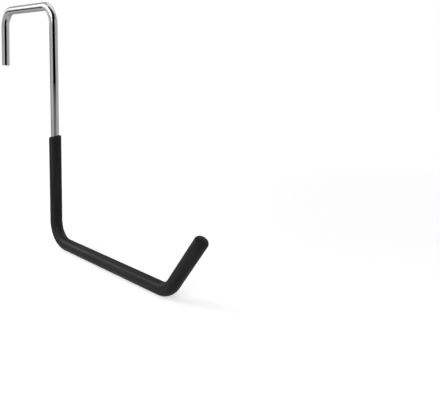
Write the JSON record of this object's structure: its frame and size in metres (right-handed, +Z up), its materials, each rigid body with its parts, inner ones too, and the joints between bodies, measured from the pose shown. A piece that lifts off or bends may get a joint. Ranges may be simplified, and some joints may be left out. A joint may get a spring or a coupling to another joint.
{
  "type": "garage utility hook",
  "caption": "Bent steel rod hook with a squared U that drops over a rail, a long leg, a level arm and an up-turned tip, under a soft black coat from the lower leg on.",
  "frame": {"origin": "middle of the top bar's underside, where the rail bears", "axes": "+X along the top bar towards the arm, +Y across the plane of the bends, +Z up"},
  "size_m": [0.3426, 0.0118, 0.2379],
  "materials": {
    "chrome_plate": "bright chrome plate on drawn steel rod",
    "black_vinyl": "matt dipped soft vinyl"
  },
  "bodies": {
    "root": {"hook_rod": "chrome_plate", "vinyl_coat": "black_vinyl"}
  },
  "joints": []
}
